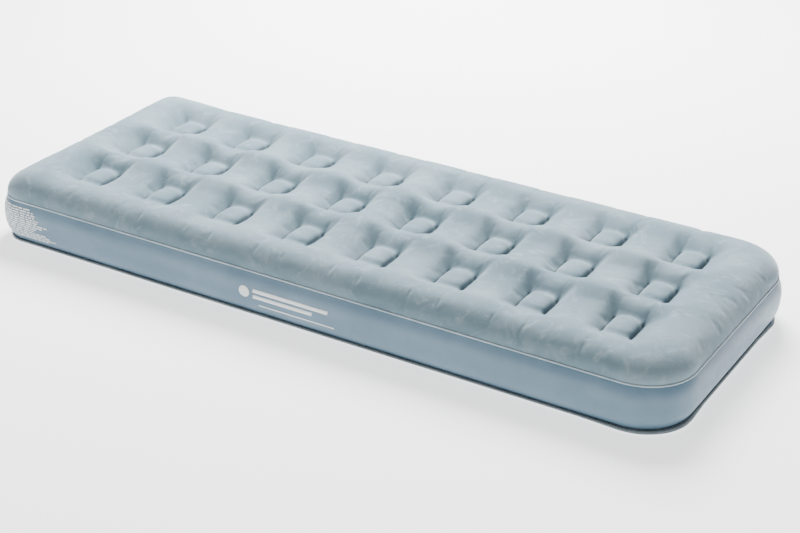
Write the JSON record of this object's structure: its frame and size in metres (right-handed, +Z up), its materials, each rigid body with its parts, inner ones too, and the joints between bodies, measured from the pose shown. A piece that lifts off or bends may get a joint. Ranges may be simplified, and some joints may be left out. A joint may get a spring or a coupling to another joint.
{
  "type": "air mattress",
  "caption": "Inflated single flocked air bed with dimpled top, satin side wall, welded seams, inner ribbons and a screw valve with flip cap at the head end.",
  "frame": {"origin": "middle of the flat underside of the inflated bed", "axes": "+X along the bed towards the foot end (the valve is at the -X end), +Z up, +Y across the bed"},
  "size_m": [1.8916, 0.74, 0.19],
  "materials": {
    "flocked_top": "matte",
    "side_vinyl": "satin",
    "seam_vinyl": "satin",
    "ribbon_vinyl": "satin",
    "valve_plastic": "matte",
    "silicone": "matte"
  },
  "bodies": {
    "airbed": {"top_sheet": "flocked_top", "side_wall": "side_vinyl", "bottom_sheet": "side_vinyl", "top_seam": "seam_vinyl", "bottom_seam": "seam_vinyl", "ribbons_1_1": "ribbon_vinyl", "ribbons_1_2": "ribbon_vinyl", "ribbons_1_3": "ribbon_vinyl", "ribbons_2_1": "ribbon_vinyl", "ribbons_2_2": "ribbon_vinyl", "ribbons_2_3": "ribbon_vinyl", "ribbons_3_1": "ribbon_vinyl", "ribbons_3_2": "ribbon_vinyl", "ribbons_3_3": "ribbon_vinyl", "ribbons_4_1": "ribbon_vinyl", "ribbons_4_2": "ribbon_vinyl", "ribbons_4_3": "ribbon_vinyl", "ribbons_5_1": "ribbon_vinyl", "ribbons_5_2": "ribbon_vinyl", "ribbons_5_3": "ribbon_vinyl", "ribbons_6_1": "ribbon_vinyl", "ribbons_6_2": "ribbon_vinyl", "ribbons_6_3": "ribbon_vinyl", "ribbons_7_1": "ribbon_vinyl", "ribbons_7_2": "ribbon_vinyl", "ribbons_7_3": "ribbon_vinyl", "ribbons_8_1": "ribbon_vinyl", "ribbons_8_2": "ribbon_vinyl", "ribbons_8_3": "ribbon_vinyl", "valve_base": "valve_plastic"},
    "seal": {"insert_seal": "silicone"},
    "insert": {"valve_insert": "valve_plastic"},
    "flap": {"check_flap": "silicone"},
    "cap": {"valve_cap": "valve_plastic", "cap_strap": "valve_plastic", "cap_gasket": "silicone"}
  },
  "joints": [
    {"name": "insert_lift", "type": "slide", "parent": "airbed", "child": "seal", "axis": [-1, 0, 0], "range_m": [0, 0.012]},
    {"name": "insert_turn", "type": "hinge", "parent": "seal", "child": "insert", "pos_m": [-0.94, 0, 0.065], "axis": [-1, 0, 0], "range_deg": [0, 360]},
    {"name": "cap_flip", "type": "hinge", "parent": "insert", "child": "cap", "pos_m": [-0.9485, 0, 0.0474], "axis": [0, -1, 0], "range_deg": [0, 150]},
    {"name": "flap_open", "type": "hinge", "parent": "insert", "child": "flap", "pos_m": [-0.92465, 0, 0.0787], "axis": [0, -1, 0], "range_deg": [0, 60]}
  ],
  "couplings": [
    {"joint": "insert_lift", "follows": "insert_turn", "m_per_rad": 0.0019099}
  ]
}
